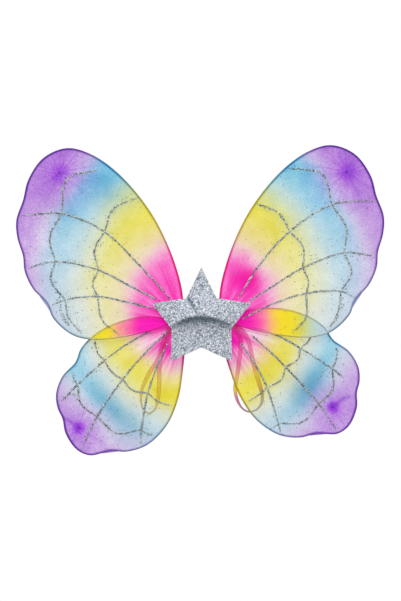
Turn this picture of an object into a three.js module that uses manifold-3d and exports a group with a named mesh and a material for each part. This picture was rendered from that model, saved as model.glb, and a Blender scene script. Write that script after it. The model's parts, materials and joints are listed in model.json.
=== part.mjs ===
// Fairy wings for fancy dress: four bent wire loops, each in a sheer nylon sleeve drawn with glitter veins.
// The two loops of a side are bound into a knot, both knots sit at the ends of a wrapped bundle, a glitter
// star covers the bundle in front, a felt pad covers it behind, and an elastic arm loop hangs from each knot.
//
// Millimetres, +Z up, -Y is the front. X runs along the span. The origin is the middle of the pad's back face.

import * as THREE from "three";
import { mergeVertices } from "three/addons/utils/BufferGeometryUtils.js";
import Module from "manifold-3d";

const wasm = await Module();
wasm.setup();

// ---------- driving dimensions ----------

const GAP = 0.3; // clearance between pieces that touch on the real wings

// wire loops
const WIRE_R = 0.9;
const WIRE_SIDES = 6;
const WIRE_STEPS = 66;
const UPPER_SCALE = 1; // size of the upper wings' outline
const LOWER_SCALE = 1; // size of the lower wings' outline
const PLANE_OFFSET = 2.4; // the upper wings lie this far in front of the bundle's axis, the lower ones behind
const WING_TURNS = { left_upper: -0.75, right_upper: 0.75, left_lower: -5.75, right_lower: 5.75 }; // degrees raised

// nylon sleeves, glitter veins and toe ties
const SLEEVE_T = 0.6;
const ROOT_STEPS = 4; // sides of the sleeve's edge round the knot
const VEIN_W = 2.6;
const VEIN_T = 0.6;
const TOE_TIE_R = 2.6;
const TOE_TIE_H = 2;

// bundle in the middle
const TAIL_R = 1.5;
const TAIL_GAP = 0.8; // between neighbouring tails, which lie two by two
const WRAP_CLEARANCE = 0.613; // from the tails to the wrap's bore
const WRAP_WALL = 1.2;
const WRAP_LENGTH = 24;
const TAIL_INSET = 1; // each tail stops this far inside the wrap's ends
const GLUE_T = 0.6;
const GLUE_LENGTH = 22;
const GLUE_HEIGHT = 7;

// star
const STAR_R = 67.5;
const STAR_NOTCHES = [33.5, 40.5, 36.5, 40.5, 33.5]; // top left, left, bottom, right, top right
const STAR_T = 2;
const STAR_RISE = 5; // the star's middle above the bundle's axis

// back pad
const PAD_W = 25;
const PAD_H = 56;
const PAD_T = 2.2;
const PAD_CORNER = 6;

// root knots
const KNOT_R = 5.5;
const KNOT_CLEARANCE = 4; // between the wrap's end and the knot
const LEG_START = KNOT_R + 0.8; // the wing pieces begin this far from the knot's middle

// elastic arm loops
const STRAP_W = 5.5;
const STRAP_T = 1.1;
const STRAP_STEPS = 46;
const TACK = { width: 7, height: 4.5, thickness: 0.6 };
const TACK_OUT = 4; // the tack's middle, out from the knot's middle
const TACK_DROP = 1.5; // and below it

// worked out from the values above
const TAIL_SPACING = 2 * TAIL_R + TAIL_GAP;
const WRAP_BORE = TAIL_SPACING / Math.SQRT2 + TAIL_R + WRAP_CLEARANCE; // its radius
const WRAP_R = WRAP_BORE + WRAP_WALL;
const HINGE_X = WRAP_LENGTH / 2 + KNOT_CLEARANCE + KNOT_R;
const PAD_FRONT = WRAP_R + GAP + GLUE_T + GAP;
const PAD_BACK = PAD_FRONT + PAD_T;
const STAR_BACK = WRAP_R + GAP + GLUE_T + GAP;
const TACK_Y = KNOT_R + GAP;
const STRAP_FRONT = TACK_Y + TACK.thickness + GAP;
const LAYERS = [STRAP_FRONT + STRAP_T / 2, STRAP_FRONT + STRAP_T * 1.5 + GAP]; // the strap's two ends, one on the other

// Outlines and veins of one upper and one lower wing: [out, up] from the knot's middle, wing not turned. An outline
// has the tips and notches of its lobes and the bends between them. A rib has its start, a bend, the two places
// where cross lines meet it, and its tip.
const UPPER = {
  edge: [
    [2, 19], [5, 48], [20, 97], [46, 148], [85, 195], [120, 220], [150, 228], [180, 216], [200, 188],
    [207, 162], [216, 136], [215, 114], [208, 90], [206, 70], [196, 48], [178, 28],
    [170, 9], [147, -12], [122, -19], [85, -17], [46, -9], [22, -2],
  ],
  startAngle: 88,
  endAngle: -4,
  ribs: [
    [[23, 32], [58, 79], [100, 120], [156, 149], [209, 149]],
    [[40, 30], [74, 51], [112, 70], [168, 84], [202, 81]],
    [[33, 12], [72, 26], [115, 36], [160, 35], [176, 29]],
  ],
  scallops: [
    [[56, 159], [86, 146], [100, 120]],
    [[100, 120], [114, 97], [112, 70]],
    [[112, 70], [119, 53], [115, 36]],
    [[115, 36], [111, 6], [90, -14]],
    [[101, 201], [147, 187], [156, 149]],
    [[156, 149], [172, 118], [168, 84]],
    [[168, 84], [173, 58], [160, 35]],
    [[160, 35], [156, 12], [143, -8]],
  ],
  toe: [165, 196],
};
const LOWER = {
  edge: [
    [14, 2], [32, 10], [57, 13], [90, 8], [118, -4], [137, -20], [146, -37], [165, -54], [175, -75], [175, -93],
    [170, -108], [168, -127], [156, -149], [140, -158], [113, -155], [92, -158], [65, -152], [38, -130], [20, -98],
    [10, -62], [3, -26],
  ],
  startAngle: 8,
  endAngle: -84,
  ribs: [
    [[41, -7], [73, -20], [104, -39], [143, -68], [163, -86]],
    [[31, -11], [60, -39], [86, -66], [122, -114], [145, -151]],
    [[26, -27], [43, -57], [56, -88], [68, -136], [70, -150]],
  ],
  scallops: [
    [[119, -11], [115, -28], [104, -39]],
    [[104, -39], [99, -55], [86, -66]],
    [[86, -66], [75, -81], [56, -88]],
    [[56, -88], [43, -98], [29, -105]],
    [[152, -49], [150, -60], [143, -68]],
    [[143, -68], [141, -94], [122, -114]],
    [[122, -114], [99, -136], [68, -136]],
    [[68, -136], [61, -141], [52, -142]],
  ],
  toe: [145, -123],
};

// The arm loops' middle lines: [x, z] from the bundle's axis, hanging as they lie behind the lower wings.
const ARM_LOOPS = {
  left: [
    [-24, -1.5], [-34, -3.5], [-44, -11.5], [-50.5, -27], [-55, -43], [-60, -53], [-66, -62], [-72.5, -74], [-77.5, -87],
    [-79, -99], [-76.5, -111.5], [-69, -118], [-61, -113], [-57, -101], [-55.5, -86], [-55, -69], [-54.5, -54],
    [-52, -42], [-47.5, -27.5], [-41.5, -13.5], [-34, -6], [-24, -1.5],
  ],
  right: [
    [24, -1.5], [34, -2], [43, -5.5], [50, -17], [51, -33], [49, -52], [46.5, -70], [44, -86], [47, -101], [54, -112],
    [62, -116], [70.5, -114], [77.5, -107], [79.5, -96], [76, -81], [71, -64], [66, -44], [61.5, -24], [54, -11],
    [44, -5], [34, -2], [24, -1.5],
  ],
};

// ---------- materials ----------

const material = (color, roughness, metalness = 0) =>
  new THREE.MeshStandardMaterial({ color, roughness, metalness });

const WIRE = material(0xd9c4dd, 0.45, 0.5);
const NYLON = material(0xe9b9dd, 0.6);
const GLITTER = material(0xb4bcc4, 0.35, 0.7);
const FELT = material(0xf2eef2, 0.95);
const THREAD = material(0xe58cc4, 0.8);
const TAPE = material(0xf0e6ef, 0.6);
const GLUE = material(0xf4f1e6, 0.4);
const ELASTIC = material(0xe3bdd6, 0.85);

// ---------- helpers ----------

const rad = THREE.MathUtils.degToRad;

function place(parent, name, geometry, finish, position = [0, 0, 0]) {
  const mesh = new THREE.Mesh(geometry, finish);
  mesh.name = name;
  mesh.position.set(...position);
  parent.add(mesh);
  return mesh;
}

function group(parent, position, turn = 0) {
  const made = new THREE.Group();
  made.position.set(...position);
  made.rotation.y = turn;
  parent.add(made);
  return made;
}

// A plate in the XZ plane, from y = 0 back to y = thickness.
function plate(outline, thickness) {
  const shape = new THREE.Shape(outline.map(([x, z]) => new THREE.Vector2(x, z)));
  const geometry = new THREE.ExtrudeGeometry(shape, { depth: thickness, steps: 1, bevelEnabled: false });
  return geometry.rotateX(Math.PI / 2).translate(0, thickness, 0);
}

function polygon(sides, radius) {
  const corners = [];
  for (let i = 0; i < sides; i += 1) {
    const angle = (2 * Math.PI * (i + 0.5)) / sides;
    corners.push(new THREE.Vector2(radius * Math.cos(angle), radius * Math.sin(angle)));
  }
  return new THREE.Shape(corners);
}

function rectangle(width, height) {
  const [a, b] = [width / 2, height / 2];
  return new THREE.Shape([[-a, -b], [a, -b], [a, b], [-a, b]].map(([x, y]) => new THREE.Vector2(x, y)));
}

const sweep = (section, curve, steps) =>
  new THREE.ExtrudeGeometry(section, { steps, extrudePath: curve, bevelEnabled: false });

const smoothCurve = (points) =>
  new THREE.CatmullRomCurve3(points.map((p) => new THREE.Vector3(...p)), false, "centripetal");

// Points beside a flat curve in the XZ plane, at a distance to the left of its direction.
function beside(curve, steps, distance) {
  const points = [];
  for (let i = 0; i <= steps; i += 1) {
    const at = curve.getPointAt(i / steps);
    const along = curve.getTangentAt(i / steps);
    points.push([at.x - along.z * distance, at.z + along.x * distance]);
  }
  return points;
}

function solid(geometry) {
  const bare = geometry.index ? geometry.toNonIndexed() : geometry.clone();
  bare.deleteAttribute("normal");
  bare.deleteAttribute("uv");
  const merged = mergeVertices(bare, 1e-3);
  const vertProperties = new Float32Array(merged.attributes.position.array);
  const triVerts = new Uint32Array(merged.index.array);
  return new wasm.Manifold(new wasm.Mesh({ numProp: 3, vertProperties, triVerts }));
}

function joined(geometries) {
  const whole = geometries.map(solid).reduce((sum, piece) => sum.add(piece));
  const mesh = whole.getMesh();
  const geometry = new THREE.BufferGeometry();
  geometry.setAttribute("position", new THREE.BufferAttribute(mesh.vertProperties, 3));
  geometry.setIndex(new THREE.BufferAttribute(mesh.triVerts, 1));
  geometry.computeVertexNormals();
  return geometry;
}

// ---------- wings ----------

// The wire's middle line: from the knot, round the wing and back to the knot.
function wireLine(wing, side, scale) {
  const leg = (angle) => [LEG_START * Math.cos(rad(angle)), LEG_START * Math.sin(rad(angle))];
  const scaled = wing.edge.map(([u, v]) => [u * scale, v * scale]);
  const points = [leg(wing.startAngle), ...scaled, leg(wing.endAngle)];
  return smoothCurve(points.map(([u, v]) => [side * u, 0, v]));
}

// The sleeve lies inside the wire and stops round the knot; the real nylon also wraps round the wire.
function sleeve(line, wing, side) {
  const outline = beside(line, WIRE_STEPS, -side * (WIRE_R + GAP));
  const reach = KNOT_R + GAP;
  for (let i = 1; i < ROOT_STEPS; i += 1) {
    const angle = rad(THREE.MathUtils.lerp(wing.endAngle, wing.startAngle, i / ROOT_STEPS));
    outline.push([side * reach * Math.cos(angle), reach * Math.sin(angle)]);
  }
  return plate(outline, SLEEVE_T).translate(0, -SLEEVE_T / 2, 0);
}

function vein(points, side, scale, steps) {
  const line = smoothCurve(points.map(([u, v]) => [side * u * scale, 0, v * scale]));
  const left = beside(line, steps, VEIN_W / 2);
  const right = beside(line, steps, -VEIN_W / 2);
  return plate([...left, ...right.reverse()], VEIN_T);
}

function veins(wing, side, scale) {
  const ribs = wing.ribs.map((points) => vein(points, side, scale, 9));
  const scallops = wing.scallops.map((points) => vein(points, side, scale, 5));
  return joined([...ribs, ...scallops]);
}

function toeTie() {
  const profile = [[0, 0], [TOE_TIE_R, 0], [TOE_TIE_R, TOE_TIE_H / 2], [TOE_TIE_R * 0.6, TOE_TIE_H], [0, TOE_TIE_H]];
  return new THREE.LatheGeometry(profile.map(([r, h]) => new THREE.Vector2(r, h)), 12);
}

function addWing(root, name, wing, side, plane, scale) {
  const turn = -side * rad(WING_TURNS[name]);
  const holder = group(root, [side * HINGE_X, plane, 0], turn);
  const line = wireLine(wing, side, scale);
  place(holder, `${name}_wire_loop`, sweep(polygon(WIRE_SIDES, WIRE_R), line, WIRE_STEPS), WIRE);
  place(holder, `${name}_nylon_sleeve`, sleeve(line, wing, side), NYLON);
  const veinY = -SLEEVE_T / 2 - GAP - VEIN_T;
  place(holder, `${name}_glitter_veins`, veins(wing, side, scale), GLITTER, [0, veinY, 0]);
  const toe = [side * wing.toe[0] * scale, SLEEVE_T / 2 + GAP, wing.toe[1] * scale];
  place(holder, `${name}_toe_tie`, toeTie(), THREAD, toe);
}

// ---------- middle ----------

function starPlate() {
  const outline = [];
  for (let i = 0; i < 5; i += 1) {
    const tip = rad(90 + 72 * i);
    const notch = rad(90 + 72 * i + 36);
    outline.push([STAR_R * Math.cos(tip), STAR_R * Math.sin(tip)]);
    outline.push([STAR_NOTCHES[i] * Math.cos(notch), STAR_NOTCHES[i] * Math.sin(notch)]);
  }
  return plate(outline, STAR_T);
}

function padPlate() {
  const [a, b] = [PAD_W / 2 - PAD_CORNER, PAD_H / 2 - PAD_CORNER];
  const outline = [];
  for (const [x, z, from] of [[a, b, 0], [-a, b, 90], [-a, -b, 180], [a, -b, 270]]) {
    for (let i = 0; i <= 4; i += 1) {
      const angle = rad(from + 22.5 * i);
      outline.push([x + PAD_CORNER * Math.cos(angle), z + PAD_CORNER * Math.sin(angle)]);
    }
  }
  return plate(outline, PAD_T);
}

function bindingWrap() {
  const [inner, outer, half] = [WRAP_BORE, WRAP_R, WRAP_LENGTH / 2];
  const profile = [[inner, -half], [outer, -half], [outer, half], [inner, half], [inner, -half]];
  const geometry = new THREE.LatheGeometry(profile.map(([r, h]) => new THREE.Vector2(r, h)), 24);
  return geometry.rotateZ(Math.PI / 2);
}

function wireTail() {
  const geometry = new THREE.CylinderGeometry(TAIL_R, TAIL_R, WRAP_LENGTH - 2 * TAIL_INSET, 10);
  return geometry.rotateZ(Math.PI / 2);
}

function addMiddle(root) {
  place(root, "glitter_star", starPlate(), GLITTER, [0, -STAR_BACK - STAR_T, STAR_RISE]);
  place(root, "binding_wrap", bindingWrap(), TAPE);
  place(root, "back_pad", padPlate(), FELT, [0, PAD_FRONT, 0]);
  const glue = () => new THREE.BoxGeometry(GLUE_LENGTH, GLUE_T, GLUE_HEIGHT);
  place(root, "star_glue", glue(), GLUE, [0, -WRAP_R - GAP - GLUE_T / 2, 0]);
  place(root, "pad_glue", glue(), GLUE, [0, WRAP_R + GAP + GLUE_T / 2, 0]);
  const half = TAIL_SPACING / 2;
  place(root, "left_upper_wire_tail", wireTail(), WIRE, [0, -half, half]);
  place(root, "right_upper_wire_tail", wireTail(), WIRE, [0, half, half]);
  place(root, "left_lower_wire_tail", wireTail(), WIRE, [0, -half, -half]);
  place(root, "right_lower_wire_tail", wireTail(), WIRE, [0, half, -half]);
}

// ---------- knots and arm loops ----------

function addKnot(root, name, side) {
  place(root, `${name}_root_knot`, new THREE.SphereGeometry(KNOT_R, 18, 12), THREAD, [side * HINGE_X, 0, 0]);
  const tack = new THREE.BoxGeometry(TACK.width, TACK.thickness, TACK.height);
  place(root, `${name}_strap_tack`, tack, THREAD, [side * (HINGE_X + TACK_OUT), TACK_Y + TACK.thickness / 2, -TACK_DROP]);
}

// The strap leaves the knot in the front layer and comes back in the rear one.
function addArmLoop(root, name) {
  const route = ARM_LOOPS[name];
  const points = route.map(([x, z], i) => {
    const share = THREE.MathUtils.smoothstep(i / (route.length - 1), 0.3, 0.7);
    return [x, THREE.MathUtils.lerp(LAYERS[0], LAYERS[1], share), z];
  });
  const strap = sweep(rectangle(STRAP_T, STRAP_W), smoothCurve(points), STRAP_STEPS);
  place(root, `${name}_arm_loop`, strap, ELASTIC);
}

// ---------- the whole object ----------

const wings = new THREE.Group();
const axis = group(wings, [0, -PAD_BACK, 0]);
addMiddle(axis);
for (const [name, side] of [["left", -1], ["right", 1]]) {
  addKnot(axis, name, side);
  addArmLoop(axis, name);
  addWing(axis, `${name}_upper`, UPPER, side, -PLANE_OFFSET, UPPER_SCALE);
  addWing(axis, `${name}_lower`, LOWER, side, PLANE_OFFSET, LOWER_SCALE);
}

export default wings;
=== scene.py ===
"""Fairy wings: sheer dyed nylon over wire loops, glitter-glue veins, a glitter star and elastic arm loops.

Metres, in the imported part's frame: X along the span, -Y is the front, +Z up, origin on the felt pad's back.
Outlines, veins and arm loops are listed in millimetres and turned into metres where they are used.
"""

import json
import math

import bmesh
import bpy
import numpy as np
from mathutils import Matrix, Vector, noise


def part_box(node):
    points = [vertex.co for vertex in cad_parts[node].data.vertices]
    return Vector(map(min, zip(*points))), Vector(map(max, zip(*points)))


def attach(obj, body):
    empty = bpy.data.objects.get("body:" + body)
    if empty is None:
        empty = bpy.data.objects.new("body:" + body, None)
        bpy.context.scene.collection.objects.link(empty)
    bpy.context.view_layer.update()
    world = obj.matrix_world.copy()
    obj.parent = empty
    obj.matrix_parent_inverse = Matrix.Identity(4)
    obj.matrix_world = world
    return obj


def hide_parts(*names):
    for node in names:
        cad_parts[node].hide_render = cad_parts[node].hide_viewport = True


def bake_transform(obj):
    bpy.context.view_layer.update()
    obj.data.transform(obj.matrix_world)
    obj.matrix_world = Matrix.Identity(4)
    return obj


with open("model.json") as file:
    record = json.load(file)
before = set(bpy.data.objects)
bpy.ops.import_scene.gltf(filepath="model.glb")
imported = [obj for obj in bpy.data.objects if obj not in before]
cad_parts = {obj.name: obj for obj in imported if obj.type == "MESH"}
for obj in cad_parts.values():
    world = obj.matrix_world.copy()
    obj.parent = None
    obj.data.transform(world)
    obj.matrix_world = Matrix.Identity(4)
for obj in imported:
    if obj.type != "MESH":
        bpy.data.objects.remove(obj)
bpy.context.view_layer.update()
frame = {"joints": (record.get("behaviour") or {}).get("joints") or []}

MM = 0.001

# ---------- places taken from the frame ----------

JOINTS = {joint["name"]: joint for joint in frame["joints"]}
KNOT_X = abs(JOINTS["left_fold"]["pos_m"][0])
AXIS_Y = JOINTS["left_fold"]["pos_m"][1]  # the bundle's middle line
WRAP_LOW, WRAP_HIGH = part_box("binding_wrap")
STAR_LOW, STAR_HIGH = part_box("glitter_star")
PAD_LOW, PAD_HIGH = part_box("back_pad")

# ---------- sizes of the real pieces ----------

WIRE_R = 0.9 * MM
FABRIC_R = 1.08 * MM  # the nylon lies this far from the wire's middle line, all round it
VEIN_W = 2.8 * MM
VEIN_RISE = 0.55  # a bead's height over its width, both sides counted
STRAP_W = 5.8 * MM
STRAP_T = 0.9 * MM
SHEER = 0.18  # share of a layer that is fibre
FIBRE = 0.97  # how much light undyed fibre gives back

WINGS = {
    "left_upper": {"side": -1, "turn": -0.75, "form": "upper"},
    "right_upper": {"side": 1, "turn": 0.75, "form": "upper"},
    "left_lower": {"side": -1, "turn": -5.75, "form": "lower"},
    "right_lower": {"side": 1, "turn": 5.75, "form": "lower"},
}

# Wing outlines, [out, up] from the knot's middle in millimetres, wing not turned: from the knot, round the
# wing and back. An outline has the tips and notches of its lobes and the bends between them. CORNERS part the
# leading edge, the outer edge and the trailing edge.
EDGES = {
    "upper": [
        (0.2, 6.3), (2, 19), (5, 48), (20, 97), (46, 148),
        (85, 195), (120, 220), (150, 228), (180, 216), (200, 188),
        (207, 162), (216, 136), (215, 114), (208, 90), (206, 70), (196, 48), (178, 28),
        (170, 9), (147, -12), (122, -19), (85, -17), (46, -9), (22, -2), (6.3, -0.4),
    ],
    "lower": [
        (6.3, 0.9), (14, 2), (32, 10), (57, 13), (90, 8),
        (118, -4), (137, -20), (146, -37), (165, -54), (175, -75),
        (175, -93), (170, -108), (168, -127), (156, -149), (140, -158), (113, -155), (92, -158), (65, -152),
        (38, -130), (20, -98), (10, -62), (3, -26), (0.7, -6.3),
    ],
}
CORNERS = {"upper": [(164, 224), (178, 28)], "lower": [(157, -47), (113, -155)]}

# Glitter-glue lines as drawn on each wing, [out, up] from the knot's middle. A rib has its start, a bend, the
# two places where cross lines meet it, and its tip.
VEINS = {
    "left_upper": {
        "ribs": [
            [(18, 31), (60, 78), (103, 120), (158, 144), (211, 142)],
            [(36, 31), (74, 51), (111, 70), (167, 82), (203, 74)],
            [(32, 17), (74, 28), (113, 36), (155, 32), (173, 25)],
        ],
        "scallops": [
            [(58, 164), (91, 149), (103, 120)],
            [(103, 120), (116, 96), (111, 70)],
            [(111, 70), (119, 53), (113, 36)],
            [(113, 36), (107, 5), (84, -15)],
            [(112, 200), (150, 189), (158, 144)],
            [(158, 144), (174, 113), (167, 82)],
            [(167, 82), (173, 58), (155, 32)],
            [(155, 32), (151, 9), (134, -12)],
        ],
        "toe": (160, 197),
    },
    "right_upper": {
        "ribs": [
            [(26, 31), (58, 79), (95, 118), (150, 152), (208, 156)],
            [(38, 26), (75, 49), (111, 70), (165, 89), (201, 85)],
            [(29, 4), (72, 24), (115, 37), (160, 39), (179, 30)],
        ],
        "scallops": [
            [(52, 154), (80, 142), (95, 118)],
            [(95, 118), (112, 96), (111, 70)],
            [(111, 70), (118, 53), (115, 37)],
            [(115, 37), (114, 6), (96, -15)],
            [(92, 200), (138, 191), (150, 152)],
            [(150, 152), (168, 121), (165, 89)],
            [(165, 89), (174, 63), (160, 39)],
            [(160, 39), (157, 15), (145, -8)],
        ],
        "toe": (170, 194),
    },
    "left_lower": {
        "ribs": [
            [(44, -5), (80, -21), (109, -38), (147, -66), (171, -86)],
            [(20, -6), (57, -35), (88, -65), (126, -110), (151, -152)],
            [(24, -23), (43, -55), (57, -86), (70, -132), (73, -152)],
        ],
        "scallops": [
            [(119, -11), (117, -27), (109, -38)],
            [(109, -38), (101, -54), (88, -65)],
            [(88, -65), (77, -80), (57, -86)],
            [(57, -86), (45, -98), (27, -106)],
            [(152, -49), (151, -58), (147, -66)],
            [(147, -66), (145, -91), (126, -110)],
            [(126, -110), (102, -134), (70, -132)],
            [(70, -132), (64, -138), (55, -142)],
        ],
        "toe": (151, -122),
    },
    "right_lower": {
        "ribs": [
            [(36, -9), (70, -21), (103, -43), (142, -74), (154, -86)],
            [(42, -20), (62, -42), (82, -66), (120, -118), (139, -153)],
            [(26, -28), (42, -57), (55, -90), (65, -138), (67, -151)],
        ],
        "scallops": [
            [(119, -30), (113, -37), (103, -43)],
            [(103, -43), (99, -57), (82, -66)],
            [(82, -66), (74, -82), (55, -90)],
            [(55, -90), (42, -99), (27, -106)],
            [(150, -47), (149, -61), (142, -74)],
            [(142, -74), (140, -100), (120, -118)],
            [(120, -118), (97, -139), (65, -138)],
            [(65, -138), (59, -142), (51, -144)],
        ],
        "toe": (138, -124),
    },
}

# Arm loops' middle lines, [x, z] in millimetres from the bundle's middle line.
ARM_LOOPS = {
    "left": [
        (-24, -1.5), (-34, -3.5), (-44, -11.5), (-50.5, -27),
        (-55, -43), (-60, -53), (-66, -62), (-72.5, -74),
        (-77.5, -87), (-79, -99), (-76.5, -111.5), (-69, -118),
        (-61, -113), (-57, -101), (-55.5, -86), (-55, -69),
        (-54.5, -54), (-52, -42), (-47.5, -27.5), (-41.5, -13.5), (-34, -6), (-24, -1.5),
    ],
    "right": [
        (24, -1.5), (34, -2), (43, -5.5), (50, -17), (51, -33), (49, -52), (46.5, -70), (44, -86), (47, -101),
        (54, -112), (62, -116), (70.5, -114), (77.5, -107), (79.5, -96),
        (76, -81), (71, -64), (66, -44), (61.5, -24),
        (54, -11), (44, -5), (34, -2), (24, -1.5),
    ],
}

# Where a hand dragged the wet glue: a wide scatter of glitter beside a line.
SMEARS = {
    "left_upper": [[(168, 60), (166, 44), (161, 28), (158, 12), (150, -2)], [(162, 20), (156, 6), (146, -8)]],
    "right_upper": [[(171, 62), (168, 46), (163, 30), (160, 14), (151, -2)]],
    "left_lower": [[(160, -74), (150, -82), (140, -92)]],
    "right_lower": [[(140, -66), (130, -76), (122, -88)]],
}

# The dyes as one layer shows them over white.
PINK, PALE_PINK, CREAM, YELLOW = "#f460c0", "#f0b4d4", "#e8dcc0", "#e6dc50"
PALE_YELLOW, PALE, PALE_BLUE, BLUE = "#e4e0a8", "#dce0dc", "#c4dae4", "#70c4e0"
PALE_LILAC, LILAC, PURPLE = "#d4c8e2", "#c8a8e0", "#b078d4"

# Where each dye lies, by distance from the knot in millimetres: by the leading edge, where it is strongest,
# and by the trailing edge, where it is washed out.
DYES = {
    "upper": {
        "leading": [
            (20, PINK), (70, PINK), (85, PALE_PINK), (100, CREAM),
            (130, YELLOW), (145, YELLOW), (175, PALE_BLUE),
            (200, BLUE), (215, BLUE), (230, PALE_LILAC), (250, PURPLE), (290, PURPLE),
        ],
        "trailing": [
            (20, PINK), (65, PINK), (85, PALE_PINK), (100, CREAM), (130, PALE_YELLOW), (160, PALE),
            (195, PALE_BLUE), (230, PALE_LILAC), (250, LILAC), (290, LILAC),
        ],
    },
    "lower": {
        "leading": [
            (20, PINK), (50, PALE_PINK), (70, CREAM), (92, YELLOW),
            (115, PALE), (130, PALE_BLUE), (148, BLUE),
            (162, PALE_BLUE), (176, PALE_LILAC), (190, LILAC), (210, LILAC),
        ],
        "trailing": [
            (20, PINK), (50, PALE_PINK), (66, CREAM), (82, YELLOW),
            (98, YELLOW), (116, PALE), (148, PALE_BLUE),
            (176, PALE_LILAC), (190, LILAC), (210, LILAC),
        ],
    },
}

# Dye where upper and lower wing lie over each other, by distance from the knot: each wing's share.
SHARED_DYES = [
    (20, "#fb12d4"), (60, "#fb12d4"), (70, "#fa58c8"), (79, "#f9c0cc"), (87, "#f9e080"), (95, "#f8ec1c"),
    (118, "#f6ea2c"), (129, "#e0e4ae"), (142, "#d6e6e8"), (160, "#d2e0ec"),
]

# How each side's distances read on that scale.
REACH_STOPS = {
    "left": [(0, 58, 68, 88, 98, 200), (0, 60, 72, 80, 94, 196)],
    "right": [(0, 44, 54, 66, 78, 108, 200), (0, 60, 72, 82, 94, 122, 214)],
}

# Dye on the straps, by distance from the knot.
STRAP_DYES = {
    "left": [(30, "#f768ce"), (62, "#f78cc8"), (76, "#f8c890"), (84, "#f6de54"), (118, "#f0d648"), (130, "#dcc950")],
    "right": [
        (30, "#f768ce"), (62, "#f78cc8"), (76, "#f8c890"), (84, "#f6de54"), (94, "#ecc878"), (103, "#d88eb4"),
        (115, "#c49cb0"), (128, "#b4b0b0"),
    ],
}

# A fold of cloth drawn in from the toe to the edge, on each lower wing.
CREASE = {
    "left_lower": [(151, -122), (161, -113), (170, -107)],
    "right_lower": [(138, -124), (149, -116), (160, -112)],
}

# Where a wing took up more dye, or less: [out, up] in millimetres, how wide, and how much.
PATCHES = {
    "left_upper": [((100, 176), 26, 0.6), ((150, 150), 22, 0.25), ((120, 60), 40, -0.15), ((190, 110), 26, -0.25)],
    "right_upper": [((38, 54), 15, 1.2), ((66, 120), 26, 0.25), ((110, 190), 20, 0.2), ((120, 60), 40, -0.15)],
    "left_lower": [
        ((84, -128), 26, 0.4), ((36, -92), 16, 0.35), ((26, -30), 9, 1.1),
        ((8, -30), 9, 0.8), ((44, -20), 16, -0.15),
    ],
    "right_lower": [
        ((104, -92), 26, 0.5), ((12, -22), 9, 1.2), ((24, -26), 7, 0.9),
        ((58, -66), 20, 0.3), ((44, -24), 16, -0.25),
    ],
}


# ---------- helpers: selection and small modelling steps ----------

def deselect_all():
    if bpy.context.mode != "OBJECT":
        bpy.ops.object.mode_set(mode="OBJECT")
    bpy.ops.object.select_all(action="DESELECT")


def only(piece):
    deselect_all()
    piece.select_set(True)
    bpy.context.view_layer.objects.active = piece


def named(piece, name):
    piece.name = name
    piece.data.name = name
    return piece


def apply_modifiers(piece):
    only(piece)
    for modifier in list(piece.modifiers):
        bpy.ops.object.modifier_apply(modifier=modifier.name)


def add_modifier(piece, kind, **settings):
    modifier = piece.modifiers.new(kind.title(), kind)
    for key, value in settings.items():
        setattr(modifier, key, value)
    return modifier


def settle(piece):
    """Puts the piece's place into its mesh."""
    only(piece)
    bpy.ops.object.transform_apply(location=True, rotation=True, scale=True)


def smooth(piece, degrees=40):
    only(piece)
    bpy.ops.object.shade_smooth_by_angle(angle=math.radians(degrees))


def face_outwards(piece):
    only(piece)
    bpy.ops.object.mode_set(mode="EDIT")
    bpy.ops.mesh.select_all(action="SELECT")
    bpy.ops.mesh.remove_doubles(threshold=1e-6)
    bpy.ops.mesh.normals_make_consistent(inside=False)
    bpy.ops.object.mode_set(mode="OBJECT")


def join(pieces, name):
    deselect_all()
    for piece in pieces:
        piece.select_set(True)
    bpy.context.view_layer.objects.active = pieces[0]
    if len(pieces) > 1:
        bpy.ops.object.join()
    return named(bpy.context.active_object, name)


def mesh_piece(name, vertices, faces):
    mesh = bpy.data.meshes.new(name)
    mesh.from_pydata([tuple(v) for v in vertices], [], [tuple(f) for f in faces])
    mesh.update()
    piece = bpy.data.objects.new(name, mesh)
    bpy.context.collection.objects.link(piece)
    return piece


# ---------- helpers: curves ----------

def spline(points, count):
    """A centripetal Catmull-Rom curve through the points, cut into count points evenly along its length."""
    p = np.array(points, float)
    p = np.vstack([2 * p[0] - p[1], p, 2 * p[-1] - p[-2]])
    steps = 24
    line = []
    for i in range(1, len(p) - 2):
        p0, p1, p2, p3 = p[i - 1: i + 3]
        t1 = np.linalg.norm(p1 - p0) ** 0.5
        t2 = t1 + np.linalg.norm(p2 - p1) ** 0.5
        t3 = t2 + np.linalg.norm(p3 - p2) ** 0.5
        for t in np.linspace(t1, t2, steps, endpoint=False):
            a1 = p0 * (t1 - t) / t1 + p1 * t / t1
            a2 = p1 * (t2 - t) / (t2 - t1) + p2 * (t - t1) / (t2 - t1)
            a3 = p2 * (t3 - t) / (t3 - t2) + p3 * (t - t2) / (t3 - t2)
            b1 = a1 * (t2 - t) / t2 + a2 * t / t2
            b2 = a2 * (t3 - t) / (t3 - t1) + a3 * (t - t1) / (t3 - t1)
            line.append(b1 * (t2 - t) / (t2 - t1) + b2 * (t - t1) / (t2 - t1))
    line.append(p[-2])
    return evenly(np.array(line), count)


def evenly(line, count):
    length = np.concatenate([[0], np.cumsum(np.linalg.norm(np.diff(line, axis=0), axis=1))])
    at = np.linspace(0, length[-1], count)
    return np.stack([np.interp(at, length, line[:, k]) for k in range(line.shape[1])], axis=1)


def length_of(line):
    return float(np.linalg.norm(np.diff(np.array(line, float), axis=0), axis=1).sum())


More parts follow.
